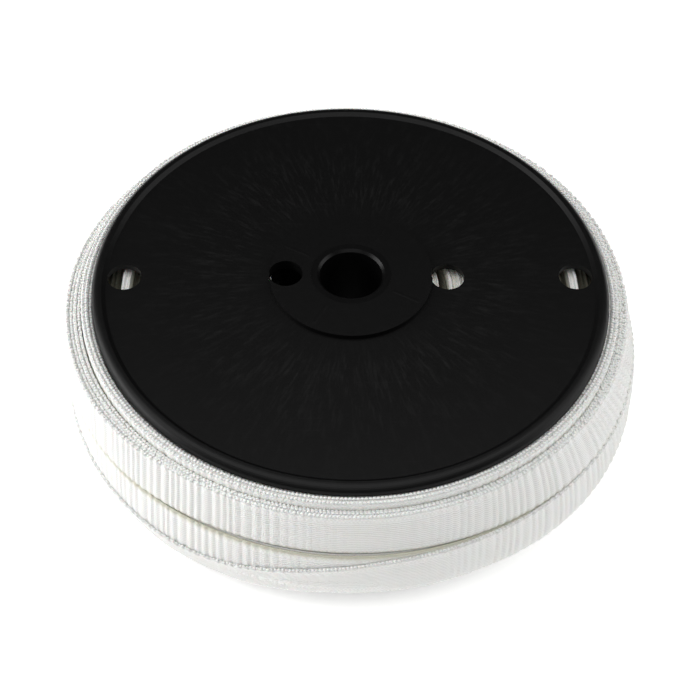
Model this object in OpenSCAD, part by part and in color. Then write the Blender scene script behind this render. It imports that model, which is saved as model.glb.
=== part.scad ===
// Plastic reel of flat woven pull tape.
// Two flanges close a barrel, a bush through the middle takes the spindle,
// and one long tape is wound between the flanges in rows, a little overfull.
// Millimetres, +Z up. The reel lies on its lower boss: the origin is under the bore, on the floor.

/* [Flanges] */
// Outside diameter of a flange
flange_d = 160; // [120:1:240]
// Thickness of a flange at its rim
flange_t = 3; // [2.2:0.1:6]
// Depth of the sunk face inside the rim
face_recess = 1; // [0.4:0.1:1.4]
// Distance from the flange's outside edge to the sunk face
rim_w = 4.5; // [3:0.1:8]
// Width of the slope between the rim and the sunk face
rim_slope_w = 1.2; // [0.4:0.1:2]
// How far the rounded outside edge reaches inwards
edge_round_w = 2.6; // [1:0.1:3]
// Diameter of the round boss in the middle of a flange
boss_d = 50.6; // [44:0.1:70]
// How far the boss stands out past the rim
boss_proud = 0.6; // [0.2:0.1:3]

/* [Flange holes] */
// Diameter of the small holes
hole_d = 10.5; // [4:0.1:11]
// Distance from the axis to the drive hole, which opens into the hub
drive_hole_r = 20.2; // [19.5:0.1:21]
// Distance from the axis to the start hole, beside the barrel
start_hole_r = 30; // [28:0.1:36]
// Distance from the flange's outside edge to the middle of each of the two outer holes
outer_hole_inset = 10; // [10:0.5:20]

/* [Hub] */
// Outside diameter of the barrel that the tape is wound on
barrel_d = 50; // [49:0.5:60]
// Wall of the barrel
barrel_wall = 2; // [1.5:0.1:3]
// Diameter of the spindle bore
bore_d = 19.5; // [12:0.1:20]
// Wall of the spindle bush
bush_wall = 2.7; // [2:0.1:3]
// Wall of the sleeve that holds the bush inside the barrel
sleeve_wall = 1.7; // [1:0.1:2]
// Bevel at each mouth of the bore
bore_bevel = 0.8; // [0.3:0.1:1.5]
// Thickness of a web between the sleeve and the barrel
web_t = 2; // [1.2:0.1:3]
// Depth of the notch in each end of the barrel that lets a drive pin in
pin_depth = 6; // [3:0.5:12]
// Height of the tabs that centre a flange in the barrel
tab_h = 3; // [1.5:0.1:6]
// Thickness of a tab
tab_t = 2.4; // [1.2:0.1:4]

/* [Tape] */
// Width of the tape
tape_w = 16; // [10:0.5:25]
// Thickness of one turn of the puckered tape
tape_t = 1.4; // [0.8:0.1:2]
// Rows of tape side by side between the flanges
tape_rows = 3; // [2:1:4]
// Outside radius of the rows that fill the reel
row_r = 82.4; // [60:0.1:120]
// Thickness of the upper laps at their top edge
upper_lap_t = 2; // [1:0.1:4]
// Thickness of the lower laps at their top edge
lower_lap_t = 5; // [2:0.1:8]
// How much further the laps bulge at their bottom edge
lap_bulge = 1.7; // [0:0.1:4]
// How far the last lap slips down off the lower laps
slip_drop = 13; // [0:0.5:14]
// How far the slipped lap is pulled in under the lower laps
slip_tuck = 5; // [0:0.1:8]

/* [Fits] */
// Gap between a row of tape and what it lies against
row_gap = 0.2; // [0.1:0.05:0.5]
// Gap between one lap of tape and the lap that it is wound on
lap_gap = 0.3; // [0.1:0.05:0.6]
// Gap round the bush and the tabs
hub_fit = 0.03; // [0.01:0.01:0.1]
// Gap round a drive pin in its notch
pin_gap = 0.7; // [0.2:0.1:0.8]

/* [Hidden] */

flange_r = flange_d / 2;
boss_r = boss_d / 2;
boss_t = flange_t + boss_proud;
barrel_r = barrel_d / 2;
barrel_in_r = barrel_r - barrel_wall;
bush_r = bore_d / 2 + bush_wall;
sleeve_r = bush_r + hub_fit + sleeve_wall;
hole_r = hole_d / 2;
outer_hole_r = flange_r - outer_hole_inset;
row_pitch = tape_w + row_gap;
inner_w = tape_rows * row_pitch + row_gap;
lower_face_z = boss_t;
upper_face_z = lower_face_z + inner_w;
reel_h = upper_face_z + boss_t;
mid_z = reel_h / 2;
past = 1;              // how far a cutter runs past what it cuts
edge_foot = 0.5;       // straight foot under the rounded edge
round_steps = 9;       // steps in a rounded edge
web_angles = [60, 150, 240, 330];
tab_angles = [15, 105, 285];
tab_half = 35;         // half the arc of a tab, in degrees
start_angle = 195;     // where the tape's inner end passes through the barrel
start_arc = 35;        // arc that the folded inner end lies along
slot_fit = 0.6;        // play round the tape in its slot
tape_edge = 0.5;       // rounding of a coil's corners
lap_in_r = row_r + lap_gap;
laps_gap = 0.3;        // gap between the upper and the lower laps
laps_rise = 4.9;       // how far the joint between the laps lies above the reel's middle
upper_laps_z = mid_z + laps_rise;
lower_laps_z = upper_laps_z - laps_gap - tape_w;
last_from = 97.5;      // where the last lap starts, in degrees
last_turn = 345;       // how far it runs round
last_step = 7.5;
slip_from = -62;       // where it starts to slip down
slip_to = -112;        // where it has come to rest
last_parts = 8;        // strips across the tape's width
$fn = 128;

function smooth(t) = let (c = min(1, max(0, t))) c * c * (3 - 2 * c);
function polar(r, a, z) = [r * cos(a), r * sin(a), z];

// Half section of a flange: x is the radius, y runs outwards from the inner face.
module flange_section() {
    edge = [for (i = [0:round_steps]) let (a = 90 * i / round_steps)
        [flange_r - edge_round_w * (1 - cos(a)), edge_foot + (flange_t - edge_foot) * sin(a)]];
    polygon(concat(
        [[0, 0], [flange_r - edge_foot / 2, 0]],
        edge,
        [[flange_r - rim_w + rim_slope_w, flange_t], [flange_r - rim_w, flange_t - face_recess],
            [boss_r, flange_t - face_recess], [boss_r, boss_t], [0, boss_t]]));
}

// Short arcs under the flange that centre it inside the barrel.
module centring_tabs() {
    out_r = barrel_in_r - hub_fit;
    for (a = tab_angles)
        rotate([0, 0, a - tab_half])
            rotate_extrude(angle = 2 * tab_half)
                translate([out_r - tab_t, -tab_h])
                    square([tab_t, tab_h + edge_foot]);
}

// A flange with its inner face on z = 0, facing up.
module flange() {
    difference() {
        union() {
            rotate_extrude() flange_section();
            centring_tabs();
        }
        translate([0, 0, -past]) cylinder(r = bush_r + hub_fit, h = boss_t + 2 * past);
        for (x = [-outer_hole_r, -drive_hole_r, start_hole_r, outer_hole_r])
            translate([x, 0, -past]) cylinder(r = hole_r, h = boss_t + 2 * past);
    }
}

module upper_flange() {
    color("#161616") translate([0, 0, upper_face_z]) flange();
}

// The same moulding turned over about the Y axis, which puts its drive hole on the other side.
module lower_flange() {
    color("#161616") translate([0, 0, lower_face_z]) rotate([0, 180, 0]) flange();
}

// The barrel, its four webs and the sleeve round the bush. The slot takes the tape's inner end,
// and each end is notched under the drive hole.
module hub_barrel() {
    slot_h = tape_w + slot_fit;
    color("#1c1c1c") difference() {
        translate([0, 0, lower_face_z]) union() {
            difference() {
                cylinder(r = barrel_r, h = inner_w);
                translate([0, 0, -past]) cylinder(r = barrel_in_r, h = inner_w + 2 * past);
            }
            difference() {
                union() {
                    cylinder(r = sleeve_r, h = inner_w);
                    for (a = web_angles)
                        rotate([0, 0, a]) translate([bush_r + sleeve_wall / 2, -web_t / 2, 0])
                            cube([barrel_in_r + barrel_wall / 2 - bush_r - sleeve_wall / 2, web_t, inner_w]);
                }
                translate([0, 0, -past]) cylinder(r = bush_r + hub_fit, h = inner_w + 2 * past);
            }
        }
        rotate([0, 0, start_angle])
            translate([barrel_in_r - past, -(tape_t + slot_fit) / 2, mid_z - slot_h / 2])
                cube([barrel_wall + 2 * past, tape_t + slot_fit, slot_h]);
        translate([-drive_hole_r, 0, upper_face_z - pin_depth])
            cylinder(r = hole_r + pin_gap, h = pin_depth + past);
        translate([drive_hole_r, 0, lower_face_z - past])
            cylinder(r = hole_r + pin_gap, h = pin_depth + past);
    }
}

// The tube that runs right through both flanges and takes the spindle.
module arbor_bush() {
    bore_r = bore_d / 2;
    color("#101010") rotate_extrude()
        polygon([[bore_r + bore_bevel, 0], [bush_r, 0], [bush_r, reel_h], [bore_r + bore_bevel, reel_h],
            [bore_r, reel_h - bore_bevel], [bore_r, bore_bevel]]);
}

// The tape's inner end: it passes through the barrel's slot and lies folded inside the wall.
module tape_start() {
    fold_r = barrel_in_r - lap_gap;
    color("#d9d6cb") translate([0, 0, mid_z - tape_w / 2]) rotate([0, 0, start_angle]) {
        translate([fold_r - tape_t, -tape_t / 2, 0])
            cube([barrel_r + row_gap / 2 - fold_r + tape_t, tape_t, tape_w]);
        rotate_extrude(angle = start_arc)
            translate([fold_r - tape_t, 0]) square([tape_t, tape_w]);
    }
}

// A full row of turns, from the barrel out to row_r, with softened outer corners.
module tape_row(index) {
    in_r = barrel_r + row_gap;
    color("#f2f1ec") translate([0, 0, lower_face_z + row_gap + index * row_pitch])
        rotate_extrude()
            polygon([[in_r, 0], [row_r - tape_edge, 0], [row_r, tape_edge],
                [row_r, tape_w - tape_edge], [row_r - tape_edge, tape_w], [in_r, tape_w]]);
}

module tape_bottom_row() tape_row(0);
module tape_middle_row() tape_row((tape_rows - 1) / 2);
module tape_top_row() tape_row(tape_rows - 1);

// Laps wound over the joints of the rows, thicker at their bottom edge.
module tape_laps(z, t) {
    translate([0, 0, z]) rotate_extrude()
        polygon([[lap_in_r, 0], [lap_in_r + t + lap_bulge - tape_edge, 0], [lap_in_r + t + lap_bulge, tape_edge],
            [lap_in_r + t, tape_w - tape_edge], [lap_in_r + t - tape_edge, tape_w], [lap_in_r, tape_w]]);
}

module tape_upper_laps() color("#f4f3ee") tape_laps(upper_laps_z, upper_lap_t);
module tape_lower_laps() color("#efeee8") tape_laps(lower_laps_z, lower_lap_t);

// Inside radius of the last lap at height z, once it has slipped by the share f.
function last_lap_in_r(z, f) = let (
    top_r = lap_in_r + lower_lap_t + lap_gap,
    on_laps = top_r + lap_bulge * min(1, max(0, 1 - (z - lower_laps_z) / tape_w)),
    below = max(0, lower_laps_z - lap_gap - z) / (slip_drop + lap_gap))
    on_laps - slip_tuck * f * pow(below, 1.3);

// One cross-section of the last lap: down its inner side and up its outer side.
function last_lap_ring(a) = let (
    f = smooth((slip_from - a) / (slip_from - slip_to)),
    top_z = lower_laps_z + tape_w - slip_drop * f,
    inner = [for (i = [0:last_parts]) let (z = top_z - tape_w * i / last_parts)
        polar(last_lap_in_r(z, f), a, z)],
    outer = [for (i = [last_parts:-1:0]) let (z = top_z - tape_w * i / last_parts)
        polar(last_lap_in_r(z, f) + tape_t, a, z)])
    concat(inner, outer);

// The outermost turn: level on the right, slipped down and pulled in on the left.
module tape_last_lap() {
    stations = [for (a = [0:last_step:last_turn]) last_from - a];
    ring_n = 2 * (last_parts + 1);
    n = len(stations);
    points = [for (a = stations) each last_lap_ring(a)];
    sides = [for (s = [0:n - 2], i = [0:ring_n - 1]) let (j = (i + 1) % ring_n)
        each [[s * ring_n + i, (s + 1) * ring_n + i, (s + 1) * ring_n + j],
            [s * ring_n + i, (s + 1) * ring_n + j, s * ring_n + j]]];
    // Each end is closed with a row of quads between the inner and the outer side.
    ends = [for (i = [0:last_parts - 1]) each [
        [i, i + 1, ring_n - 2 - i, ring_n - 1 - i],
        [for (k = [ring_n - 1 - i, ring_n - 2 - i, i + 1, i]) (n - 1) * ring_n + k]]];
    color("#f6f5f0") polyhedron(points = points, faces = concat(sides, ends));
}

upper_flange();
lower_flange();
hub_barrel();
arbor_bush();
tape_start();
tape_bottom_row();
tape_middle_row();
tape_top_row();
tape_upper_laps();
tape_lower_laps();
tape_last_lap();
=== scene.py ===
"""Looks of a black moulded reel, wound overfull with white flat woven pull tape."""

import math

import bpy
import numpy as np
from mathutils import Matrix, Vector


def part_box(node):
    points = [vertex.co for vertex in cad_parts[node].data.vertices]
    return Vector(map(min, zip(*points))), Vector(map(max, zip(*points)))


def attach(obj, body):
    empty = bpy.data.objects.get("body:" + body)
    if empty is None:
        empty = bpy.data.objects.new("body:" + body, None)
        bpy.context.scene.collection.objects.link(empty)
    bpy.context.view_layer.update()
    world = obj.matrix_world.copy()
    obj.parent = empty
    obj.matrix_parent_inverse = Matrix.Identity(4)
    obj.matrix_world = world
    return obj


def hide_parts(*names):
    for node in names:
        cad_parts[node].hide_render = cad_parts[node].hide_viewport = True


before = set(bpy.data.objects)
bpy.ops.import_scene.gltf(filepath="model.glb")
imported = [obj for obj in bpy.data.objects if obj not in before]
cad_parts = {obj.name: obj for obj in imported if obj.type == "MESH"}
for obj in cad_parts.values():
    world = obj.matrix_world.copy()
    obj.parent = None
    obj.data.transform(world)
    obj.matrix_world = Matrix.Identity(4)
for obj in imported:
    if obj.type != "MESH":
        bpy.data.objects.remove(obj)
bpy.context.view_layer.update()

MM = 0.001
TAPE_WIDTH = 16.0          # mm, stock width of the tape
LAP_THICK = 1.15           # mm, one woven turn, pressed by the turns above it
LAP_PITCH = 1.41           # mm, from one turn to the next inside the rows
LOOP_PITCH = 1.12          # mm, from one weft loop to the next along a selvedge
PUCKER_PITCH = 2.45        # mm, from one pucker to the next along the tape
SEAM = 100.0               # degrees, where a closed turn's mesh begins, at the back
REEL_R = 85.0              # mm, radius that turns an angle into length along the tape
PACKED_R = 55.0            # mm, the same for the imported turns, near their middle
EDGE_REACH = 1.2           # mm, how far in from a selvedge the puckers lift it
LOOP_HEIGHT = 0.34         # mm, half of a weft loop's own height
RADIAN = 57.3              # degrees, near enough to set a ripple's pitch

# A Mix node's sockets share their names, so they are asked for by number.
FACTOR, FLOAT_A, FLOAT_B, COLOUR_A, COLOUR_B, COLOUR_OUT = 0, 2, 3, 6, 7, 2


# ---------------------------------------------------------------- small tools

def linear(hex_colour):
    """sRGB hex, such as 'E8E6DF', as linear red, green and blue, with full alpha."""
    channels = [int(hex_colour[i:i + 2], 16) / 255 for i in (0, 2, 4)]
    return [c / 12.92 if c <= 0.04045 else ((c + 0.055) / 1.055) ** 2.4 for c in channels] + [1.0]


def add(tree, kind, inputs=None, **settings):
    """Adds a node, sets it, and links or sets its inputs."""
    node = tree.nodes.new(kind)
    for key, value in settings.items():
        setattr(node, key, value)
    for key, value in (inputs or {}).items():
        if isinstance(value, bpy.types.NodeSocket):
            tree.links.new(value, node.inputs[key])
        else:
            node.inputs[key].default_value = value
    return node


def eased(keys, values, reach, spread, angles):
    """Values between the keys, softened over a window as many degrees wide as the spread."""
    fine = np.arange(-reach, reach + 1.0)
    window = np.hanning(spread)
    soft = np.convolve(np.interp(fine, keys, values), window / window.sum(), "same")
    return np.interp(angles, fine, soft)


def around(table, angles, spread=31):
    """Values eased round the reel between (angle, value) pairs; the table closes on itself."""
    keys, values = np.array(sorted(table), float).T
    return eased(np.concatenate([keys - 360, keys, keys + 360]), np.tile(values, 3), 640.0, spread, angles)


def along_turn(table, angles, spread=17):
    """The same for a turn with two free ends."""
    keys, values = np.array(sorted(table), float).T
    return eased(keys, values, 400.0, spread, angles)


def wander(angles, seed, size, waves=(2, 3, 5, 7)):
    """A slow closed wobble round the reel, of about the given size."""
    rng = np.random.default_rng(seed)
    a = np.radians(angles)
    total = sum(rng.normal() * np.sin(k * a + rng.uniform(0, math.tau)) / k ** 0.5 for k in waves)
    return size * total / len(waves) ** 0.5


def new_object(name, data):
    """A new object in the scene that shows the given data."""
    obj = bpy.data.objects.new(name, data)
    bpy.context.scene.collection.objects.link(obj)
    return obj


def new_mesh(name, points, quads, material=None, point_values=None, corner_uv=None):
    """A smooth mesh object from arrays in metres, with its faces turned outwards."""
    volume = 0.0
    p = points[quads]
    for a, b, c in ((0, 1, 2), (0, 2, 3)):
        volume += np.einsum("ij,ij->", p[:, a], np.cross(p[:, b], p[:, c]))
    if volume < 0:
        quads = quads[:, ::-1]
        corner_uv = None if corner_uv is None else corner_uv[:, ::-1]
    mesh = bpy.data.meshes.new(name)
    mesh.vertices.add(len(points))
    mesh.vertices.foreach_set("co", points.astype(np.float32).ravel())
    mesh.loops.add(quads.size)
    mesh.loops.foreach_set("vertex_index", quads.astype(np.int32).ravel())
    mesh.polygons.add(len(quads))
    mesh.polygons.foreach_set("loop_start", np.arange(0, quads.size, 4, dtype=np.int32))
    mesh.polygons.foreach_set("use_smooth", np.ones(len(quads), dtype=bool))
    for key, values in (point_values or {}).items():
        kind = "FLOAT_VECTOR" if values.ndim == 2 else "FLOAT"
        layer = mesh.attributes.new(key, kind, "POINT")
        field = "vector" if values.ndim == 2 else "value"
        layer.data.foreach_set(field, values.astype(np.float32).ravel())
    if corner_uv is not None:
        layer = mesh.uv_layers.new(name="tape_uv")
        layer.data.foreach_set("uv", corner_uv.astype(np.float32).ravel())
    mesh.update(calc_edges=True)
    mesh.validate()
    if material:
        mesh.materials.append(material)
    return new_object(name, mesh)


def band_faces(stations, ring, u, v, closed):
    """Faces and corner UVs of a band, which is a ring of section points at each of its stations. v has
    one value more than the ring has points, and on a closed band u has one more than there are
    stations. An open band has its ends capped."""
    grid = np.arange(stations * ring).reshape(stations, ring)
    i, j = np.meshgrid(np.arange(stations if closed else stations - 1), np.arange(ring), indexing="ij")
    i_next, j_next = (i + 1) % stations, (j + 1) % ring
    quads = np.stack([grid[i, j], grid[i_next, j], grid[i_next, j_next], grid[i, j_next]], -1).reshape(-1, 4)
    corners = ((i, j), (i + 1, j), (i + 1, j + 1), (i, j + 1))
    uv = np.stack([np.stack([u[at_u], v[at_v]], -1) for at_u, at_v in corners], 2).reshape(-1, 4, 2)
    if closed:
        return quads, uv
    caps = []
    for end in (0, stations - 1):
        rim = grid[end]
        faces = [(rim[k], rim[k + 1], rim[ring - 2 - k], rim[ring - 1 - k]) for k in range(ring // 2 - 1)]
        caps += faces if end else [face[::-1] for face in faces]
    return np.concatenate([quads, np.array(caps)]), np.concatenate([uv, np.zeros((len(caps), 4, 2))])


def run_tree(obj, tree, **inputs):
    """Runs a Geometry Nodes tree on the object and keeps the result as its plain mesh."""
    modifier = obj.modifiers.new(tree.name, "NODES")
    modifier.node_group = tree
    for item in tree.interface.items_tree:
        if item.item_type == "SOCKET" and item.in_out == "INPUT" and item.name in inputs:
            modifier[item.identifier] = inputs[item.name]
    depsgraph = bpy.context.evaluated_depsgraph_get()
    done = bpy.data.meshes.new_from_object(obj.evaluated_get(depsgraph), preserve_all_data_layers=True,
                                           depsgraph=depsgraph)
    obj.modifiers.remove(modifier)
    obj.data = done


def joined(name, objects):
    """One object from several, which keeps the first one's place."""
    bpy.ops.object.select_all(action="DESELECT")
    for obj in objects:
        obj.select_set(True)
    bpy.context.view_layer.objects.active = objects[0]
    if len(objects) > 1:
        bpy.ops.object.join()
    objects[0].name = objects[0].data.name = name
    return objects[0]


# ---------------------------------------------------------------- materials

def new_material(name):
    """A material with an empty node tree, and that tree."""
    material = bpy.data.materials.new(name)
    material.use_nodes = True
    material.node_tree.nodes.clear()
    return material, material.node_tree


def woven_polyester():
    """White polyester pull tape, woven flat in a narrow loom, matt with a faint silky sheen. The warp shows
    as fine ribs along the tape, the weft as a finer beat across it, and both selvedges as rows of beads."""
    material, tree = new_material("woven_polyester")
    warp_pitch = 0.83      # mm, from one warp end to the next
    weft_pitch = 0.75      # mm; real picks lie 0.4 mm apart, and are drawn this coarse so that they show
    bead_rows = 0.9        # mm, between the selvedge's staggered rows of beads
    uv = add(tree, "ShaderNodeUVMap", uv_map="tape_uv")
    in_mm = add(tree, "ShaderNodeVectorMath", {0: uv.outputs[0], "Scale": 1 / MM}, operation="SCALE")
    split = add(tree, "ShaderNodeSeparateXYZ", {0: in_mm.outputs[0]})
    # The lines waver a little, as a soft tape's do.
    waver = add(tree, "ShaderNodeTexNoise", {"Vector": in_mm.outputs[0], "Scale": 0.35, "Detail": 2.0},
                noise_dimensions="2D")
    shift = add(tree, "ShaderNodeMath", {0: waver.outputs["Fac"], 1: 1.3}, operation="MULTIPLY")
    warp_at = add(tree, "ShaderNodeMath", {0: split.outputs["Y"], 1: math.tau / warp_pitch,
                                          2: shift.outputs[0]}, operation="MULTIPLY_ADD")
    warp = add(tree, "ShaderNodeMath", {0: warp_at.outputs[0]}, operation="SINE")
    weft_at = add(tree, "ShaderNodeMath", {0: split.outputs["X"], 1: math.tau / weft_pitch,
                                          2: shift.outputs[0]}, operation="MULTIPLY_ADD")
    weft = add(tree, "ShaderNodeMath", {0: weft_at.outputs[0]}, operation="SINE")
    crossing = add(tree, "ShaderNodeMath", {0: warp.outputs[0], 1: weft.outputs[0]}, operation="MULTIPLY")
    weave = add(tree, "ShaderNodeMath", {0: crossing.outputs[0], 1: 0.35, 2: warp.outputs[0]},
                operation="MULTIPLY_ADD")
    # Selvedge beads: one at each weft loop, in staggered rows.
    bead_u = add(tree, "ShaderNodeMath", {0: split.outputs["X"], 1: math.tau / LOOP_PITCH},
                 operation="MULTIPLY")
    bead_v = add(tree, "ShaderNodeMath", {0: split.outputs["Y"], 1: math.pi / bead_rows},
                 operation="MULTIPLY")
    bead_us = add(tree, "ShaderNodeMath", {0: bead_u.outputs[0]}, operation="SINE")
    bead_vs = add(tree, "ShaderNodeMath", {0: bead_v.outputs[0]}, operation="COSINE")
    bead_full = add(tree, "ShaderNodeMath", {0: bead_us.outputs[0], 1: bead_vs.outputs[0]},
                    operation="MULTIPLY")
    bead = add(tree, "ShaderNodeMath", {0: bead_full.outputs[0], 1: 0.6}, operation="MULTIPLY")
    from_edge = add(tree, "ShaderNodeMath", {0: split.outputs["Y"], 1: (TAPE_WIDTH - LAP_THICK) / 2},
                    operation="PINGPONG")
    at_edge = add(tree, "ShaderNodeMapRange", {"Value": from_edge.outputs[0], "From Min": 1.1,
                                               "From Max": 1.8, "To Min": 1.0, "To Max": 0.0})
    cloth = add(tree, "ShaderNodeMix", {FACTOR: at_edge.outputs[0], FLOAT_A: weave.outputs[0],
                                        FLOAT_B: bead.outputs[0]}, data_type="FLOAT")
    fuzz = add(tree, "ShaderNodeTexNoise", {"Vector": in_mm.outputs[0], "Scale": 2.2, "Detail": 3.0},
               noise_dimensions="2D")
    relief = add(tree, "ShaderNodeMath", {0: fuzz.outputs["Fac"], 1: 0.9, 2: cloth.outputs[0]},
                 operation="MULTIPLY_ADD")
    bump = add(tree, "ShaderNodeBump", {"Strength": 0.8, "Distance": 0.11 * MM, "Height": relief.outputs[0]})
    # Painted shade: thread hollows are drawn a little darker than the crowns.
    hollow_shade = add(tree, "ShaderNodeMapRange", {"Value": relief.outputs[0], "From Min": -0.8, "From Max": 1.4})
    thread = add(tree, "ShaderNodeMix", {FACTOR: hollow_shade.outputs[0], COLOUR_A: linear("DADAD7"),
                                         COLOUR_B: linear("F2F2F1")}, data_type="RGBA")
    # Soft cream stains, a few centimetres across.
    stain = add(tree, "ShaderNodeTexNoise", {"Vector": in_mm.outputs[0], "Scale": 0.045, "Detail": 2.0},
                noise_dimensions="2D")
    stain_part = add(tree, "ShaderNodeMapRange", {"Value": stain.outputs["Fac"], "From Min": 0.35,
                                                  "From Max": 0.75, "To Max": 0.25})
    colour = add(tree, "ShaderNodeMix", {FACTOR: stain_part.outputs[0], COLOUR_A: thread.outputs[COLOUR_OUT],
                                         COLOUR_B: linear("E8E8E2")}, data_type="RGBA")
    # Where the tape is tucked in between turns, shade is painted into its colour: greyer, and deep down a
    # dark olive. The mesh says how much: 1 is tucked in, 2 deep down.
    tucked = add(tree, "ShaderNodeAttribute", attribute_name="tucked", attribute_type="GEOMETRY")
    deep = add(tree, "ShaderNodeMapRange", {"Value": tucked.outputs["Fac"], "From Min": 1.0, "From Max": 2.0})
    greyer = add(tree, "ShaderNodeMix", {FACTOR: tucked.outputs["Fac"], COLOUR_A: colour.outputs[COLOUR_OUT],
                                         COLOUR_B: linear("C9C8B8")}, data_type="RGBA")
    shaded = add(tree, "ShaderNodeMix", {FACTOR: deep.outputs[0], COLOUR_A: greyer.outputs[COLOUR_OUT],
                                         COLOUR_B: linear("3E3C30")}, data_type="RGBA")
    rough = add(tree, "ShaderNodeMapRange", {"Value": fuzz.outputs["Fac"], "To Min": 0.62, "To Max": 0.82})
    shader = add(tree, "ShaderNodeBsdfPrincipled", {
        "Base Color": shaded.outputs[COLOUR_OUT], "Roughness": rough.outputs[0], "Normal": bump.outputs[0],
        "IOR": 1.5, "Specular IOR Level": 0.35, "Sheen Weight": 0.1, "Sheen Roughness": 0.5,
        "Subsurface Weight": 0.1, "Subsurface Scale": 0.5 * MM})
    add(tree, "ShaderNodeOutputMaterial", {0: shader.outputs[0]})
    return material


def moulded_black(name, colour_low, colour_high, gloss):
    """Black polystyrene, injection moulded and satin. The melt ran outwards from the middle, which
    leaves faint radial flow streaks; handling leaves hair scratches and a little dust."""
    material, tree = new_material(name)
    place = add(tree, "ShaderNodeTexCoord")
    in_mm = add(tree, "ShaderNodeVectorMath", {0: place.outputs["Object"], "Scale": 1 / MM},
                operation="SCALE")
    split = add(tree, "ShaderNodeSeparateXYZ", {0: in_mm.outputs[0]})
    angle = add(tree, "ShaderNodeMath", {0: split.outputs["Y"], 1: split.outputs["X"]}, operation="ARCTAN2")
    flat = add(tree, "ShaderNodeCombineXYZ", {"X": split.outputs["X"], "Y": split.outputs["Y"]})
    radius = add(tree, "ShaderNodeVectorMath", {0: flat.outputs[0]}, operation="LENGTH")
    # Streaks are about 0.8 mm wide at mid radius and 6 mm long.
    streak_x = add(tree, "ShaderNodeMath", {0: angle.outputs[0], 1: 52.0}, operation="MULTIPLY")
    streak_y = add(tree, "ShaderNodeMath", {0: radius.outputs["Value"], 1: 0.17}, operation="MULTIPLY")
    streak_at = add(tree, "ShaderNodeCombineXYZ", {"X": streak_x.outputs[0], "Y": streak_y.outputs[0],
                                                   "Z": split.outputs["Z"]})
    streak = add(tree, "ShaderNodeTexNoise", {"Vector": streak_at.outputs[0], "Scale": 1.0, "Detail": 3.0,
                                              "Roughness": 0.65, "Distortion": 0.3})
    sharp = add(tree, "ShaderNodeMapRange", {"Value": streak.outputs["Fac"], "From Min": 0.5,
                                             "From Max": 0.8})
    # The streaks show most between 28 and 50 mm from the axis.
    near = add(tree, "ShaderNodeMapRange", {"Value": radius.outputs["Value"], "From Min": 22.0,
                                            "From Max": 36.0})
    far = add(tree, "ShaderNodeMapRange", {"Value": radius.outputs["Value"], "From Min": 44.0,
                                           "From Max": 66.0, "To Min": 1.0, "To Max": 0.3})
    belt = add(tree, "ShaderNodeMath", {0: near.outputs[0], 1: far.outputs[0]}, operation="MULTIPLY")
    flow = add(tree, "ShaderNodeMath", {0: sharp.outputs[0], 1: belt.outputs[0]}, operation="MULTIPLY")
    # Hair scratches: a noise drawn out 40 to 1 on a slant.
    drawn = add(tree, "ShaderNodeMapping", {"Vector": in_mm.outputs[0], "Rotation": (0.0, 0.0, 0.6),
                                            "Scale": (0.05, 2.0, 1.0)})
    hair = add(tree, "ShaderNodeTexNoise", {"Vector": drawn.outputs[0], "Scale": 1.0, "Detail": 2.0})
    scratch = add(tree, "ShaderNodeMapRange", {"Value": hair.outputs["Fac"], "From Min": 0.66,
                                               "From Max": 0.74, "To Max": 0.35})
    grain = add(tree, "ShaderNodeTexNoise", {"Vector": in_mm.outputs[0], "Scale": 1.6, "Detail": 4.0})
    # Dust specks are 0.2 mm across.
    specks = add(tree, "ShaderNodeTexNoise", {"Vector": in_mm.outputs[0], "Scale": 2.4, "Detail": 1.0})
    dust = add(tree, "ShaderNodeMapRange", {"Value": specks.outputs["Fac"], "From Min": 0.76,
                                            "From Max": 0.82, "To Max": 0.5})
    marks = add(tree, "ShaderNodeMath", {0: flow.outputs[0], 1: scratch.outputs[0]}, operation="ADD")
    marks_all = add(tree, "ShaderNodeMath", {0: marks.outputs[0], 1: dust.outputs[0]}, operation="ADD",
                    use_clamp=True)
    colour = add(tree, "ShaderNodeMix", {FACTOR: marks_all.outputs[0], COLOUR_A: linear(colour_low),
                                         COLOUR_B: linear(colour_high)}, data_type="RGBA")
    rough_base = add(tree, "ShaderNodeMapRange", {"Value": grain.outputs["Fac"], "To Min": gloss - 0.06,
                                                  "To Max": gloss + 0.1})
    rough = add(tree, "ShaderNodeMath", {0: flow.outputs[0], 1: 0.08, 2: rough_base.outputs[0]},
                operation="MULTIPLY_ADD")
    # The hub's four webs show through the boss as fine raised lines, a quarter turn apart.
    first_line = 60.0      # degrees
    line_turn = add(tree, "ShaderNodeMath", {0: angle.outputs[0], 1: 2.0, 2: -2 * math.radians(first_line)},
                    operation="MULTIPLY_ADD")
    line_wave = add(tree, "ShaderNodeMath", {0: line_turn.outputs[0]}, operation="SINE")
    line_size = add(tree, "ShaderNodeMath", {0: line_wave.outputs[0]}, operation="ABSOLUTE")
    line_away = add(tree, "ShaderNodeMath", {0: line_size.outputs[0], 1: radius.outputs["Value"]},
                    operation="MULTIPLY")
    line = add(tree, "ShaderNodeMapRange", {"Value": line_away.outputs[0], "From Min": 0.5, "From Max": 1.1,
                                            "To Min": 1.0, "To Max": 0.0})
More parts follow.
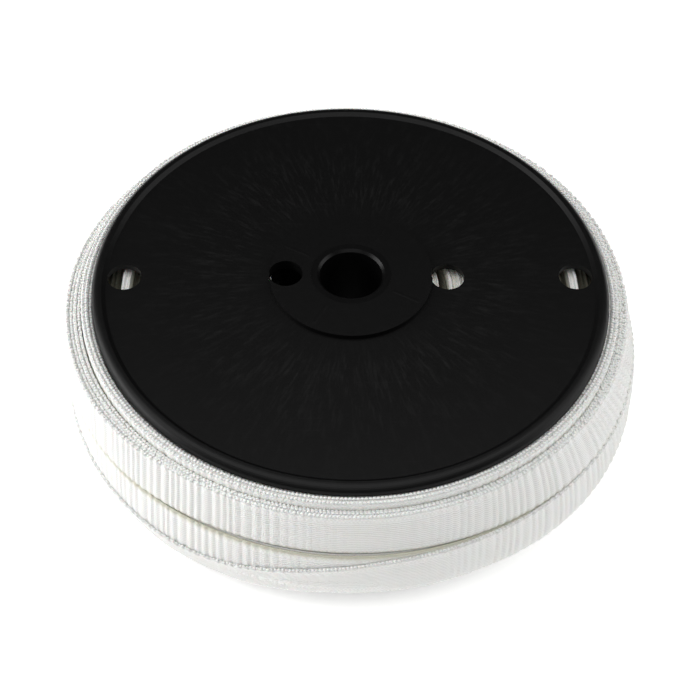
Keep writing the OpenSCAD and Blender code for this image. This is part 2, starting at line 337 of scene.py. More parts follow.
    # They run from 15 to 23.5 mm from the axis.
    line_from = add(tree, "ShaderNodeMapRange", {"Value": radius.outputs["Value"], "From Min": 14.6,
                                                 "From Max": 15.2})
    line_to = add(tree, "ShaderNodeMapRange", {"Value": radius.outputs["Value"], "From Min": 23.2,
                                               "From Max": 23.8, "To Min": 1.0, "To Max": 0.0})
    line_long = add(tree, "ShaderNodeMath", {0: line_from.outputs[0], 1: line_to.outputs[0]},
                    operation="MULTIPLY")
    witness = add(tree, "ShaderNodeMath", {0: line.outputs[0], 1: line_long.outputs[0]}, operation="MULTIPLY")
    marked = add(tree, "ShaderNodeMath", {0: marks.outputs[0], 1: 0.8, 2: grain.outputs["Fac"]},
                 operation="MULTIPLY_ADD")
    height = add(tree, "ShaderNodeMath", {0: witness.outputs[0], 1: 3.5, 2: marked.outputs[0]},
                 operation="MULTIPLY_ADD")
    bump = add(tree, "ShaderNodeBump", {"Strength": 0.25, "Distance": 0.03 * MM, "Height": height.outputs[0]})
    shader = add(tree, "ShaderNodeBsdfPrincipled", {
        "Base Color": colour.outputs[COLOUR_OUT], "Roughness": rough.outputs[0], "Normal": bump.outputs[0],
        "IOR": 1.5, "Specular IOR Level": 0.16})
    add(tree, "ShaderNodeOutputMaterial", {0: shader.outputs[0]})
    return material


def lit_table():
    """Opal acrylic light table, matt white, with only the faintest mottle and a light of its own."""
    material, tree = new_material("opal_acrylic_table")
    place = add(tree, "ShaderNodeTexCoord")
    mottle = add(tree, "ShaderNodeTexNoise", {"Vector": place.outputs["Object"], "Scale": 6.0, "Detail": 3.0})
    colour = add(tree, "ShaderNodeMix", {FACTOR: mottle.outputs["Fac"], COLOUR_A: linear("F7F7F6"),
                                         COLOUR_B: linear("FBFBFA")}, data_type="RGBA")
    shader = add(tree, "ShaderNodeBsdfPrincipled", {
        "Base Color": colour.outputs[COLOUR_OUT], "Roughness": 0.9, "Specular IOR Level": 0.1,
        "Emission Color": linear("FFFFFF"), "Emission Strength": 0.45})
    add(tree, "ShaderNodeOutputMaterial", {0: shader.outputs[0]})
    return material


# ---------------------------------------------------------------- node trees that shape the tape

def new_tree(name, inputs):
    """A Geometry Nodes tree with a geometry in and out and the given inputs besides, and what it is given."""
    tree = bpy.data.node_groups.new(name, "GeometryNodeTree")
    sockets = tree.interface
    sockets.new_socket("Geometry", in_out="INPUT", socket_type="NodeSocketGeometry")
    for label, kind in inputs.items():
        sockets.new_socket(label, in_out="INPUT", socket_type=f"NodeSocket{kind}")
    sockets.new_socket("Geometry", in_out="OUTPUT", socket_type="NodeSocketGeometry")
    return tree, add(tree, "NodeGroupInput").outputs


def pucker_tree():
    """Raises the puckers across a tape: ridges at a pitch that drifts, as its weft draws up."""
    tree, given = new_tree("tape_puckers", {"Pitch": "Float", "Height": "Float", "Edge Lift": "Float",
                                            "Seed": "Float", "Finish": "Material"})
    along, across, strength, slant, edge = [
        add(tree, "GeometryNodeInputNamedAttribute", {"Name": key}, data_type="FLOAT").outputs["Attribute"]
        for key in ("along", "across", "strength", "slant", "edge")]
    outward = add(tree, "GeometryNodeInputNamedAttribute", {"Name": "outward"}, data_type="FLOAT_VECTOR")
    leaned = add(tree, "ShaderNodeMath", {0: across, 1: slant, 2: along}, operation="MULTIPLY_ADD")
    turns = add(tree, "ShaderNodeMath", {0: leaned.outputs[0], 1: given["Pitch"]}, operation="DIVIDE")
    place = add(tree, "ShaderNodeCombineXYZ", {"X": turns.outputs[0], "Y": given["Seed"]})
    drift = add(tree, "ShaderNodeTexNoise", {"Vector": place.outputs[0], "Scale": 0.23, "Detail": 1.0},
                noise_dimensions="2D")
    phase = add(tree, "ShaderNodeMath", {0: drift.outputs[0], 1: 1.9, 2: turns.outputs[0]},
                operation="MULTIPLY_ADD")
    radians = add(tree, "ShaderNodeMath", {0: phase.outputs[0], 1: math.pi}, operation="MULTIPLY")
    swing = add(tree, "ShaderNodeMath", {0: radians.outputs[0]}, operation="SINE")
    crown = add(tree, "ShaderNodeMath", {0: swing.outputs[0]}, operation="ABSOLUTE")
    wave = add(tree, "ShaderNodeMath", {0: crown.outputs[0], 1: 2.0, 2: -1.3}, operation="MULTIPLY_ADD")
    # Each pucker has its own height.
    own = add(tree, "ShaderNodeTexNoise", {"Vector": place.outputs[0], "Scale": 0.8, "Detail": 1.0},
              noise_dimensions="2D")
    own_part = add(tree, "ShaderNodeMapRange", {"Value": own.outputs[0], "From Min": 0.3, "From Max": 0.7,
                                                "To Min": 0.6, "To Max": 1.15})
    ridge = add(tree, "ShaderNodeMath", {0: wave.outputs[0], 1: own_part.outputs[0]}, operation="MULTIPLY")
    ridge_here = add(tree, "ShaderNodeMath", {0: ridge.outputs[0], 1: strength}, operation="MULTIPLY")
    rise = add(tree, "ShaderNodeMath", {0: ridge_here.outputs[0], 1: given["Height"]}, operation="MULTIPLY")
    push = add(tree, "ShaderNodeVectorMath", {0: outward.outputs["Attribute"], "Scale": rise.outputs[0]},
               operation="SCALE")
    lift = add(tree, "ShaderNodeMath", {0: ridge_here.outputs[0], 1: edge}, operation="MULTIPLY")
    lift_by = add(tree, "ShaderNodeMath", {0: lift.outputs[0], 1: given["Edge Lift"]}, operation="MULTIPLY")
    up = add(tree, "ShaderNodeCombineXYZ", {"Z": lift_by.outputs[0]})
    move = add(tree, "ShaderNodeVectorMath", {0: push.outputs[0], 1: up.outputs[0]}, operation="ADD")
    moved = add(tree, "GeometryNodeSetPosition", {"Geometry": given["Geometry"], "Offset": move.outputs[0]})
    real = add(tree, "GeometryNodeRealizeInstances", {0: moved.outputs[0]})
    finish = add(tree, "GeometryNodeSetMaterial", {"Geometry": real.outputs[0], "Material": given["Finish"]})
    add(tree, "NodeGroupOutput", {0: finish.outputs[0]})
    return tree


def loop_tree():
    """Sets a weft loop at every pick along a selvedge line."""
    tree, given = new_tree("selvedge_loops", {"Pitch": "Float", "Width": "Float", "Height": "Float",
                                              "Seed": "Int", "Finish": "Material"})
    line = add(tree, "GeometryNodeMeshToCurve", {"Mesh": given["Geometry"]})
    picks = add(tree, "GeometryNodeResampleCurve", {"Curve": line.outputs[0], "Length": given["Pitch"]},
                mode="LENGTH")
    half = add(tree, "ShaderNodeMath", {0: given["Pitch"], 1: 0.56}, operation="MULTIPLY")
    across = add(tree, "ShaderNodeMath", {0: given["Width"], 1: 0.5}, operation="MULTIPLY")
    size = add(tree, "ShaderNodeCombineXYZ", {"X": half.outputs[0], "Y": across.outputs[0],
                                              "Z": given["Height"]})
    loop = add(tree, "GeometryNodeMeshUVSphere", {"Segments": 6, "Rings": 3, "Radius": 1.0})
    tangent = add(tree, "GeometryNodeInputTangent")
    turn = add(tree, "FunctionNodeAlignRotationToVector", {"Vector": tangent.outputs[0]}, axis="X",
               pivot_axis="Z")
    wild = add(tree, "FunctionNodeRandomValue", {"Min": (0.85, 0.85, 0.6), "Max": (1.1, 1.1, 1.3),
                                                 "Seed": given["Seed"]}, data_type="FLOAT_VECTOR")
    own_size = add(tree, "ShaderNodeVectorMath", {0: size.outputs[0], 1: wild.outputs[0]},
                   operation="MULTIPLY")
    placed = add(tree, "GeometryNodeInstanceOnPoints", {
        "Points": picks.outputs[0], "Instance": loop.outputs["Mesh"], "Rotation": turn.outputs[0],
        "Scale": own_size.outputs[0]})
    real = add(tree, "GeometryNodeRealizeInstances", {0: placed.outputs[0]})
    smooth = add(tree, "GeometryNodeSetShadeSmooth", {"Geometry": real.outputs[0]})
    finish = add(tree, "GeometryNodeSetMaterial", {"Geometry": smooth.outputs[0],
                                                   "Material": given["Finish"]})
    add(tree, "NodeGroupOutput", {0: finish.outputs[0]})
    return tree


# ---------------------------------------------------------------- the tape

def tape_section(face_steps):
    """Points round a tape's section, as how far across it and how deep below its outer face, in mm, and
    which of them lie on its upper and its lower selvedge."""
    half = LAP_THICK / 2
    face = [(y, 0.0) for y in np.linspace(half, TAPE_WIDTH - half, face_steps)]
    bend = [math.radians(d) for d in ((-60, -30, 0, 30, 60) if face_steps > 3 else (-50, 0, 50))]
    low = [(TAPE_WIDTH - half + half * math.cos(b), half + half * math.sin(b)) for b in bend]
    back = [(TAPE_WIDTH - half, LAP_THICK), (half, LAP_THICK)]
    high = [(half - half * math.cos(b), half - half * math.sin(b)) for b in bend]
    low_at = face_steps + len(bend) // 2
    top_at = low_at + len(low) + len(back)
    return np.array(face + low + back + high), top_at, low_at


class Turn:
    """One turn of tape round the reel: where its outer face runs, and how it is puckered."""

    def __init__(self, angles, face, closed, strength, slant=0.0, face_steps=15, tucked=np.zeros_like,
                 bow=0.0):
        self.angles, self.face, self.closed = angles, face, closed
        self.strength, self.tucked, self.bow = strength, tucked, bow
        self.slant = np.broadcast_to(slant, angles.shape)
        self.section, self.top_at, self.low_at = tape_section(face_steps)

    def build(self, name, seed, height, lift, loops):
        """The turn's mesh, puckered, with weft loops along the selvedges named in loops."""
        y, depth = self.section.T
        radius, z = self.face(self.angles[:, None], y[None, :] / TAPE_WIDTH)
        radius = radius - depth
        a = np.radians(self.angles)[:, None]
        x_out, y_out = np.cos(a) * np.ones_like(radius), np.sin(a) * np.ones_like(radius)
        points = np.stack([radius * x_out, radius * y_out, z * np.ones_like(radius)], -1) * MM
        stations, ring = radius.shape
        length = np.abs(np.radians(self.angles - self.angles[0])) * REEL_R * MM
        u = np.append(length, length[-1] + length[1])
        v = np.append(np.concatenate([[0], np.cumsum(np.hypot(*np.diff(self.section, axis=0).T))]), 0) * MM
        v[-1] = v[-2] + LAP_THICK * MM * 0.3
        quads, uv = band_faces(stations, ring, u, v, self.closed)

        def spread(row, column):
            return (row[:, None] * column[None, :]).ravel()

        # The puckers are at full height on the outer face and run out towards the back.
        outer = np.clip(1.25 - depth / LAP_THICK, 0.25, 1)
        near_edge = np.exp(-y / EDGE_REACH) + np.exp(-(TAPE_WIDTH - y) / EDGE_REACH)
        bowed = self.bow / TAPE_WIDTH * (1 - y / TAPE_WIDTH)
        lean = np.ones((stations, 1)) * self.slant[:, None] + bowed[None, :]
        every = np.ones(stations)
        # The tucked value stays on the mesh and says how much painted shade the tape's material lays there.
        values = {
            "along": spread(length, np.ones(ring)), "across": spread(every, y * MM),
            "strength": spread(self.strength, outer), "slant": lean.ravel(),
            "tucked": spread(every, self.tucked(y)), "edge": spread(every, near_edge),
            "outward": np.stack([x_out, y_out, np.zeros_like(x_out)], -1).reshape(-1, 3)}
        obj = new_mesh(name, points.reshape(-1, 3), quads, None, values, uv)
        run_tree(obj, PUCKERS, Pitch=PUCKER_PITCH * MM, Height=height * MM, Seed=float(seed),
                 Finish=TAPE, **{"Edge Lift": lift * MM})
        made = np.empty(stations * ring * 3, dtype=np.float32)
        obj.data.vertices.foreach_get("co", made)
        made = made.reshape(stations, ring, 3)
        pieces = [obj]
        for side, at in (("top", self.top_at), ("low", self.low_at)):
            if side in loops:
                pieces.append(selvedge(f"{name}_{side}", made[:, at], self.closed, seed))
        for key in values:
            if key != "tucked":
                obj.data.attributes.remove(obj.data.attributes[key])
        return joined(name, pieces)


def selvedge(name, line, closed, seed):
    """Weft loops along one edge line."""
    mesh = bpy.data.meshes.new(name)
    count = len(line)
    edges = [(k, (k + 1) % count) for k in range(count if closed else count - 1)]
    mesh.from_pydata(line.tolist(), edges, [])
    obj = new_object(name, mesh)
    run_tree(obj, LOOPS, Pitch=LOOP_PITCH * MM, Width=LAP_THICK * 0.98 * MM, Height=LOOP_HEIGHT * MM,
             Seed=seed, Finish=TAPE)
    # The loops take their weave from their own place along the edge.
    data = obj.data
    while data.uv_layers:
        data.uv_layers.remove(data.uv_layers[0])
    layer = data.uv_layers.new(name="tape_uv")
    places = np.empty(len(data.vertices) * 3, dtype=np.float32)
    data.vertices.foreach_get("co", places)
    corners = np.empty(len(data.loops), dtype=np.int32)
    data.loops.foreach_get("vertex_index", corners)
    x, y, z = places.reshape(-1, 3)[corners].T
    uv = np.stack([np.arctan2(y, x) * REEL_R * MM, z + np.hypot(x, y)], -1)
    layer.data.foreach_set("uv", uv.astype(np.float32).ravel())
    return obj


def wound_row(name, z_low, z_high, r_in, r_out, stations, steps, seed, up, gaps):
    """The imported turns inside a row. Their edges make ridges on the face that shows, none quite level.
    Each gap says which radius (mm) lies how deep (mm), round which angle and how far to its sides."""
    rng = np.random.default_rng(seed)
    laps = int(round((r_out - r_in) / LAP_PITCH))
    r = np.linspace(r_in, r_out, laps * steps + 1)
    lap = np.minimum((np.arange(len(r)) // steps), laps - 1)
    inside = np.abs(np.sin(np.pi * (r - r_in) / (r_out - r_in) * laps)) ** 0.6
    angles = np.linspace(SEAM, SEAM - 360, stations, endpoint=False)
    a = np.radians(angles)[:, None]
    sink = np.zeros((stations, laps))
    for k in range(laps):
        sink[:, k] = rng.uniform(0.1, 0.9) + np.abs(wander(angles, seed * 100 + k, 0.35))
    for at_r, middle, reach, drop in gaps:
        k = int((at_r - r_in) / (r_out - r_in) * laps)
        sink[:, k] += drop * np.exp(-((((angles - middle + 180) % 360) - 180) / reach) ** 2)
    # Between two turns a groove goes 0.7 mm deeper.
    depth = sink[:, lap] + (1 - inside)[None, :] * 0.7
    turned = angles[:, None] * REEL_R / RADIAN / PUCKER_PITCH * math.tau
    ripple = 0.12 * np.sin(turned * (r / REEL_R) + lap * 1.7)
    shown_z = (z_high - depth + ripple) if up else (z_low + depth - ripple)
    plain_z = np.full((stations, 2), z_low if up else z_high)
    radius = np.concatenate([r, [r_out, r_in]])[None, :] * np.ones((stations, 1))
    z = np.concatenate([shown_z, plain_z], 1)
    # Painted shade: the deeper a turn's edge lies, the greyer and then darker olive it is drawn; the hidden
    # faces are drawn greyer too.
    tucked = np.concatenate([np.clip(0.3 + (depth - 0.6) * 0.7, 0, 2), np.ones_like(plain_z)], 1)
    points = np.stack([radius * np.cos(a), radius * np.sin(a), z], -1) * MM
    u = np.append(np.abs(np.radians(angles - angles[0])), math.tau) * PACKED_R * MM
    v = np.append(np.concatenate([r, [r_out + TAPE_WIDTH, r_in + TAPE_WIDTH]]), r_in) * MM
    quads, uv = band_faces(*radius.shape, u, v, True)
    return new_mesh(name, points.reshape(-1, 3), quads, TAPE, {"tucked": tucked.ravel()}, uv)


def box_mm(node):
    """The lowest and the highest corner of a node's box, in mm."""
    low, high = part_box(node)
    return np.array(low) / MM, np.array(high) / MM


TAPE = woven_polyester()
PUCKERS = pucker_tree()
LOOPS = loop_tree()

top_low, top_high = box_mm("tape_top_row")
mid_low, mid_high = box_mm("tape_middle_row")
bot_low, bot_high = box_mm("tape_bottom_row")
start_low, start_high = box_mm("tape_start")
UPPER_LAPS_FOOT = box_mm("tape_upper_laps")[0][2]
BARREL_R = box_mm("hub_barrel")[1][0]
ROW_R = top_high[0]

# Stations round a closed turn: close together where its outer face shows, and coarse behind that.
closed_angles, row_angles, coarse_angles = (
    np.linspace(SEAM, SEAM - 360, count, endpoint=False) for count in (1700, 1100, 460))

# How strongly the tape is puckered round the reel: smooth at the front, strong on both sides of it.
PUCKERED = [(-180, 0.75), (-150, 0.8), (-128, 1.0), (-110, 0.75), (-100, 0.3), (-80, 0.18), (-70, 0.5),
            (-55, 0.9), (-30, 1.15), (0, 1.2), (40, 1.0), (80, 0.7), (95, 0.0), (105, 0.0), (120, 0.7),
            (150, 0.8)]


def puckered(angles, share):
    """How strongly a closed turn is puckered at the angles. It is flat at its seam, where the mesh meets."""
    away = np.abs((angles - SEAM + 180) % 360 - 180)
    return around(PUCKERED, angles, 15) * share * np.clip(away / 4, 0, 1)


# Rows: packed turns inside, and a few turns of their own outside where edges and faces show.
ROW_TURNS = 3
CORE_GAP, BARREL_GAP = 0.3, 0.2    # mm, clear of those turns and of the barrel
CORE_R = ROW_R - ROW_TURNS * LAP_THICK - CORE_GAP
# The row swells a little past its own radius on both sides of the reel.
ROW_OUT_R = [(-180, 83.3), (-150, 83.4), (-120, 82.7), (-90, 82.3), (-60, 82.3), (-35, 82.9), (0, 83.1),
             (45, 83.0), (100, 82.8), (140, 83.0)]
CORE_SINK = 1.6            # mm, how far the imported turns' edges lie below the row's top


def row_piece(name, low, high, up, stations, steps, seed, turns, gaps=()):
    """One row of tape, whose edges show on its upper or its lower face. Its outer turns are made singly."""
    core_low, core_high = (low[2], high[2] - CORE_SINK) if up else (low[2] + CORE_SINK, high[2])
    pieces = [wound_row(f"{name}_core", core_low, core_high, BARREL_R + BARREL_GAP, CORE_R, stations, steps,
                        seed, up, gaps)]
    for k in range(turns):
        outermost = k == 0
        # Turns outside the flange's edge stand a little proud of the row, and those under it don't.
        rise = (0.15, 0.45, -0.45)[k]

        def face(a, s, k=k, rise=rise):
            r = (around(ROW_OUT_R, a) if up else ROW_R) - k * LAP_THICK
            top, foot = (high[2] + rise, low[2] + 0.3) if up else (high[2] - 0.4, low[2] - rise)
            return (r + 0.4 * s * (1 - s) + wander(a, seed + 7 * k, 0.1),
                    top + (foot - top) * s + wander(a, seed + 7 * k + 50, 0.1))

        angles = row_angles if outermost else coarse_angles
        # On an upper row, shade is painted onto the turns from 1.6 mm below their top edge, where the laps
        # outside close in.
        turn = Turn(angles, face, True, puckered(angles, 0.9), face_steps=13 if outermost else 3,
                    tucked=lambda y: np.clip((y - 1.6) / 2.2, 0, 1) * 0.8 if up else np.zeros_like(y))
        pieces.append(turn.build(f"{name}_turn_{k}", seed + k, 0.2, 0.3, ("top",) if up else ("low",)))
    return joined(name, pieces)


# Under the side holes one turn stands near the flange and its neighbours have sunk; beside the barrel one
# turn has sunk deep and the next less so.
SIDES = (0, 180)
HOLE_GAPS = [(28.7, 0, 40, 9.0), (30.1, 0, 40, 2.4)]
HOLE_GAPS += [(r, side, 16, 2.6) for side in SIDES for r in (64.5, 65.9, 67.3, 68.7, 72.0, 73.4, 74.8, 76.2)]
HOLE_GAPS += [(70.4, side, 16, -0.5) for side in SIDES]
top_row = row_piece("woven_top_row", top_low, top_high, True, 260, 4, 11, 3, HOLE_GAPS)
middle_row = row_piece("woven_middle_row", mid_low, mid_high, True, 150, 2, 21, 1)
bottom_row = row_piece("woven_bottom_row", bot_low, bot_high, False, 200, 3, 31, 3)

# Upper laps: pressed tight at the front, loose and leaning outwards on both sides.
LAPS_IN_R = [(-180, 84.6), (-150, 84.5), (-120, 83.3), (-90, 82.9), (-60, 82.9), (-35, 83.4), (0, 83.7),
             (45, 83.6), (100, 83.4), (140, 83.6)]
UPPER_TOP_R = [(-180, 88.5), (-150, 88.4), (-141, 87.8), (-133, 86.4), (-125, 85.4), (-113, 84.9),
               (-90, 84.7), (-60, 84.5), (-49, 84.7), (-38, 85.3), (-20, 86.0), (0, 86.8), (22, 87.3),
               (45, 87.4), (80, 85.6), (110, 85.2), (143, 85.6), (157, 87.0), (172, 88.1)]
UPPER_LOW_R = [(-180, 90.9), (-160, 90.5), (-141, 89.5), (-129, 88.2), (-118, 87.0), (-103, 86.3),
               (-90, 86.2), (-82, 86.3), (-74, 87.0), (-66, 87.5), (-57, 88.2), (-47, 89.3), (-35, 90.2),
               (-20, 90.7), (0, 91.1), (40, 90.4), (90, 88.0), (140, 88.8)]
UPPER_TOP_Z = [(-180, 48.6), (-141, 48.9), (-90, 49.0), (-60, 48.7), (-30, 48.0), (0, 47.8), (60, 48.4),
               (120, 48.8)]
UPPER_TURNS = 4


def upper_face(k, seed):
    """The upper laps' outer faces, from the outermost, 0, to the one against the row."""
    share = k / (UPPER_TURNS - 1)

    def face(a, s):
        r_top, r_low = around(UPPER_TOP_R, a), around(UPPER_LOW_R, a)
        first = around(LAPS_IN_R, a) + 0.3
        r_top = r_top + (first - r_top) * share
        r_low = r_low - share * (r_low - first) * 0.8
        top = around(UPPER_TOP_Z, a) + share * 0.7 - 0.25 * (k % 2) + wander(a, seed, 0.1)
        lean = (r_low - r_top) / TAPE_WIDTH
        return (r_top * (1 - s) + r_low * s + 0.7 * s * (1 - s),
                top - TAPE_WIDTH * s * np.sqrt(1 - lean ** 2))
    return face


def laps_piece(name, turns, seed, strength, slant, height, lift, tucked):
    """Laps from a list of (face, selvedges that show), the outermost first."""
    pieces = []
    for k, (face, loops) in enumerate(turns):
        angles = coarse_angles if k else closed_angles
        own = {"face_steps": 2} if k else {"face_steps": 13, "slant": around(slant, angles), "tucked": tucked}
        turn = Turn(angles, face, True, puckered(angles, strength), bow=LAPS_BOW, **own)
        pieces.append(turn.build(f"{name}_{k}", seed + k, height, lift, loops))
    return joined(name, pieces)


LAPS_BOW = 1.1             # mm; at mid width a pucker bows along the tape by a quarter of it
# The puckers lean where the laps have been dragged on the right.
UPPER_SLANT = [(-180, 0.0), (-90, 0.0), (-60, 0.0), (-40, 0.2), (-20, 0.5), (10, 0.6), (60, 0.3),
               (120, 0.0)]
LOWER_SLANT = [(0, 0.0)]
upper_turns = [(upper_face(k, 41 + 3 * k), ("top",)) for k in range(UPPER_TURNS)]
# The upper laps get painted shade along their lowest 1.4 mm, where they meet the lower laps.
upper_laps = laps_piece("woven_upper_laps", upper_turns, 41, 1.0, UPPER_SLANT, 0.26, 0.36,
                        lambda y: np.clip((y - 14.6) / 1.2, 0, 1) * 0.6)

LOWER_TOP_R = [(-180, 90.4), (-160, 90.0), (-141, 89.4), (-129, 88.7), (-118, 88.1), (-103, 87.7),
               (-90, 87.6), (-66, 87.9), (-53, 88.4), (-39, 89.3), (-24, 89.8), (0, 90.2), (40, 89.6),
               (90, 88.2), (140, 89.0)]
LOWER_LOW_R = [(-180, 90.6), (-160, 90.8), (-142, 91.0), (-128, 90.8), (-113, 89.8), (-103, 89.2),
               (-90, 89.2), (-66, 89.0), (-53, 90.1), (-39, 91.0), (-24, 91.5), (0, 91.6), (40, 91.2),
               (90, 90.0), (140, 90.4)]
LOWER_TOP_Z = UPPER_LAPS_FOOT + 0.1
STRETCHED = 0.99           # share of the tape's width that a slack lap reaches down


def lower_face(inset, drop, seed):
    """The lower laps' outer faces, so far inside the outermost and below its top, in mm."""
    def face(a, s):
        r = around(LOWER_TOP_R, a) * (1 - s) + around(LOWER_LOW_R, a) * s + 1.4 * s * (1 - s)
        top = LOWER_TOP_Z - drop + wander(a, seed, 0.1)
        return r - inset, top - TAPE_WIDTH * STRETCHED * s
    return face


lower_turns = [(lower_face(0, 0, 51), ("low",)), (lower_face(LAP_THICK, 0.3, 54), ()),
               (lower_face(2 * LAP_THICK, 0.1, 57), ("low",))]
# The lower laps get painted shade along their top millimetre, in the groove under the upper laps.
lower_laps = laps_piece("woven_lower_laps", lower_turns, 51, 0.9, LOWER_SLANT, 0.24, 0.14,
                        lambda y: np.clip(1.3 - y / 0.8, 0, 1))

# Last lap: level on the right, slipped down and tucked in under the lower laps on the left.
LAST_FROM, LAST_TURN = 97.0, 344.0     # degrees, where it starts and how far it goes round
SLIP = [(-260, 12.6), (-180, 12.8), (-128, 12.8), (-120, 12.4), (-113, 11.0), (-103, 7.1), (-95, 4.3),
        (-85, 1.6), (-76, 0.6), (-65, 0.1), (-50, 0.0), (110, 0.0)]
LAST_TOP_R = [(-260, 90.6), (-180, 91.4), (-142, 91.8), (-128, 91.6), (-113, 90.5), (-103, 89.9),
              (-95, 89.5), (-85, 89.0), (-76, 89.0), (-66, 89.1), (-53, 89.6), (-39, 90.4), (-24, 91.0),
              (0, 91.4), (40, 90.8), (90, 89.5), (110, 89.3)]
LAST_LOW_R = [(-260, 86.5), (-180, 86.6), (-147, 86.9), (-130, 86.7), (-118, 86.0), (-108, 86.7),
              (-103, 87.0), (-95, 87.5), (-85, 88.9), (-76, 89.7), (-66, 90.0), (-53, 91.3), (-39, 92.3),
              (-24, 92.8), (0, 92.9), (50, 92.4), (90, 91.2), (110, 91.0)]
last_angles = np.linspace(LAST_FROM, LAST_FROM - LAST_TURN, 1640)


def last_face(a, s):
    slip = along_turn(SLIP, a, 9)
    r_top, r_low = along_turn(LAST_TOP_R, a, 9), along_turn(LAST_LOW_R, a, 9)
    lean = (r_low - r_top) / TAPE_WIDTH
    # The first few degrees rise from the lap underneath.
    start = np.clip((LAST_FROM - a) / 8, 0, 1)
    r = r_top * (1 - s) + r_low * s + (0.9 + 1.2 * slip / 13) * s * (1 - s) - (1 - start) * 0.9
    return r, LOWER_TOP_Z - 0.1 - slip - TAPE_WIDTH * STRETCHED * s * np.sqrt(1 - lean ** 2)


# From -180 to -30 degrees it is puckered as the closed turns are. Beyond a small step there, the values
# are its own.
LAST_PUCKERED = [(-260, 0.7)] + [(angle, value) for angle, value in PUCKERED if angle <= -30]
LAST_PUCKERED += [(-30, 1.1), (0, 1.2), (40, 1.0), (80, 0.8), (100, 0.2)]
last_strength = along_turn(LAST_PUCKERED, last_angles, 11)
LAST_SLANT = [(-260, 0.5), (-120, 0.6), (-100, 0.5), (-85, 0.1), (-60, 0.0), (-40, 0.1), (-10, 0.4),
              (110, 0.2)]
last_slant = along_turn(LAST_SLANT, last_angles)
last_lap = Turn(last_angles, last_face, False, last_strength, last_slant, bow=0.8).build(
    "woven_last_lap", 61, 0.26, 0.26, ("top", "low"))

# The inner end passes through the barrel's slot and lies folded along the inside of its wall.
SLOT_AT, FOLD_ARC = 195.0, 35.0        # degrees, where the slot is and how far round the fold goes
BARREL_WALL, WALL_GAP = 2.0, 0.3       # mm
FOLD_R = BARREL_R - BARREL_WALL - WALL_GAP


def strip_mesh(name, path, width, thick, z_mid):
    """A flat tape of the given thickness that stands on edge along a path in the XY plane, in mm."""
    path = np.array(path)
    way = np.gradient(path, axis=0)
    way /= np.linalg.norm(way, axis=1)[:, None]
    side = np.stack([-way[:, 1], way[:, 0]], -1)
    length = np.concatenate([[0], np.cumsum(np.linalg.norm(np.diff(path, axis=0), axis=1))])
    across = np.linspace(-0.5, 0.5, 13)
    ripple = 0.06 * np.sin(length / 1.2 * math.tau)
    front = [(v * width, thick / 2) for v in across]
    behind = [(v * width, -thick / 2) for v in across[::-1]]
    section = np.array(front + behind)
    stations, ring = len(path), len(section)
    off = side[:, None, :] * (section[None, :, 1:] + ripple[:, None, None])
    heights = np.broadcast_to(z_mid + section[None, :, :1], (stations, ring, 1))
    points = np.concatenate([path[:, None, :] + off, heights], -1)
    v_at = np.append(np.abs(section[:, 0] + width / 2), 0) * MM
    quads, uv = band_faces(stations, ring, length * MM, v_at, False)
    return new_mesh(name, points.reshape(-1, 3) * MM, quads, TAPE, None, uv)


fold_mid = FOLD_R - 0.7
sweep = np.radians(np.linspace(SLOT_AT + 4.5, SLOT_AT + FOLD_ARC, 60))
arc = [(fold_mid * math.cos(t), fold_mid * math.sin(t)) for t in sweep]
out = math.radians(SLOT_AT)
# The way in through the slot, as mm outside the fold and radians round from the slot.
corner = [((fold_mid + d) * math.cos(out + b), (fold_mid + d) * math.sin(out + b))
          for d, b in ((2.6, 0.0), (1.9, 0.0), (1.2, 0.002), (0.6, 0.012), (0.2, 0.032), (0.02, 0.055))]
inner_end = strip_mesh("woven_inner_end", corner + arc, TAPE_WIDTH - 0.1, 1.1,
                       (start_low[2] + start_high[2]) / 2)

for piece, node in (
        (top_row, "tape_top_row"), (middle_row, "tape_middle_row"), (bottom_row, "tape_bottom_row"),
        (upper_laps, "tape_upper_laps"), (lower_laps, "tape_lower_laps"), (last_lap, "tape_last_lap"),
        (inner_end, "tape_start")):
    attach(piece, "root")
    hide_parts(node)

# ---------------------------------------------------------------- the reel

flange_black = moulded_black("moulded_polystyrene_black", "090909", "161616", 0.34)
bush_black = moulded_black("moulded_bush_black", "070707", "141414", 0.3)
for node, finish in (("upper_flange", flange_black), ("lower_flange", flange_black),
                     ("hub_barrel", flange_black), ("arbor_bush", bush_black)):
    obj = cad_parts[node]
    obj.data.materials.clear()
    obj.data.materials.append(finish)

# ---------------------------------------------------------------- floor, light and camera

FLOOR_HALF, FLOOR_DROP = 3.0, 0.0002    # m, half the floor's side, and how far it lies under the reel
floor_mesh = bpy.data.meshes.new("studio_floor")
floor_corners = [(x * FLOOR_HALF, y * FLOOR_HALF, 0) for x, y in ((-1, -1), (1, -1), (1, 1), (-1, 1))]
floor_mesh.from_pydata(floor_corners, [], [(0, 1, 2, 3)])
floor_mesh.materials.append(lit_table())
floor = new_object("studio_floor", floor_mesh)
floor.location.z = -FLOOR_DROP


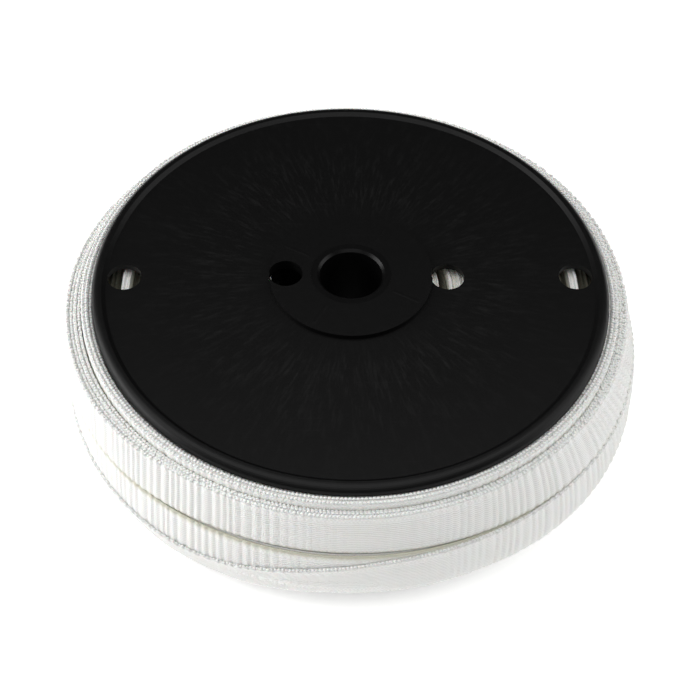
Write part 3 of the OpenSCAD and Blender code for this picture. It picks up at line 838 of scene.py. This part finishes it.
def softbox(name, place, aim, size, power):
    """A rectangular area light that faces its aim; its size is in metres and its power in watts."""
    light = bpy.data.lights.new(name, "AREA")
    light.shape, light.size, light.size_y, light.energy = "RECTANGLE", size[0], size[1], power
    obj = new_object(name, light)
    obj.location = place
    obj.rotation_euler = (Vector(aim) - Vector(place)).to_track_quat("-Z", "Y").to_euler()


CENTRE = (0, 0, 0.03)
softbox("left_low_softbox", (-1.1, 0.0, 0.35), CENTRE, (0.9, 0.5), 8.0)
softbox("left_high_softbox", (-0.85, 0.1, 0.95), CENTRE, (0.9, 0.9), 5.4)
softbox("right_low_softbox", (1.1, 0.0, 0.35), CENTRE, (0.9, 0.5), 3.0)
softbox("right_high_softbox", (0.85, 0.1, 0.95), CENTRE, (0.9, 0.9), 3.8)
softbox("overhead_softbox", (0.0, 0.0, 1.5), (0, 0, 0), (1.4, 1.4), 10.5)
softbox("front_top_softbox", (0.0, -0.9, 1.2), CENTRE, (1.4, 0.8), 3.4)

world = bpy.data.worlds.new("studio_air")
world.use_nodes = True
background = world.node_tree.nodes["Background"].inputs
background["Color"].default_value = linear("FFFFFF")
background["Strength"].default_value = 0.03
bpy.context.scene.world = world
bpy.context.scene.view_settings.view_transform = "Standard"

camera = bpy.data.cameras.new("studio_camera")
camera.sensor_width, camera.lens = 36.0, 67.88
camera.clip_start, camera.clip_end = 0.01, 20.0
camera_obj = new_object("studio_camera", camera)
CAMERA_PLACE = Vector((-0.01082, -0.27801, 0.35582))
AIM = Vector((-0.00087, -0.03027, 0.0554))
ROLL = math.radians(1.649)
back = (CAMERA_PLACE - AIM).normalized()
right = Vector((0, 0, 1)).cross(back).normalized()
up = back.cross(right)
turned_right = right * math.cos(ROLL) + up * math.sin(ROLL)
turned_up = -right * math.sin(ROLL) + up * math.cos(ROLL)
camera_obj.matrix_world = Matrix((
    (turned_right.x, turned_up.x, back.x, CAMERA_PLACE.x),
    (turned_right.y, turned_up.y, back.y, CAMERA_PLACE.y),
    (turned_right.z, turned_up.z, back.z, CAMERA_PLACE.z), (0, 0, 0, 1)))
bpy.context.scene.camera = camera_obj
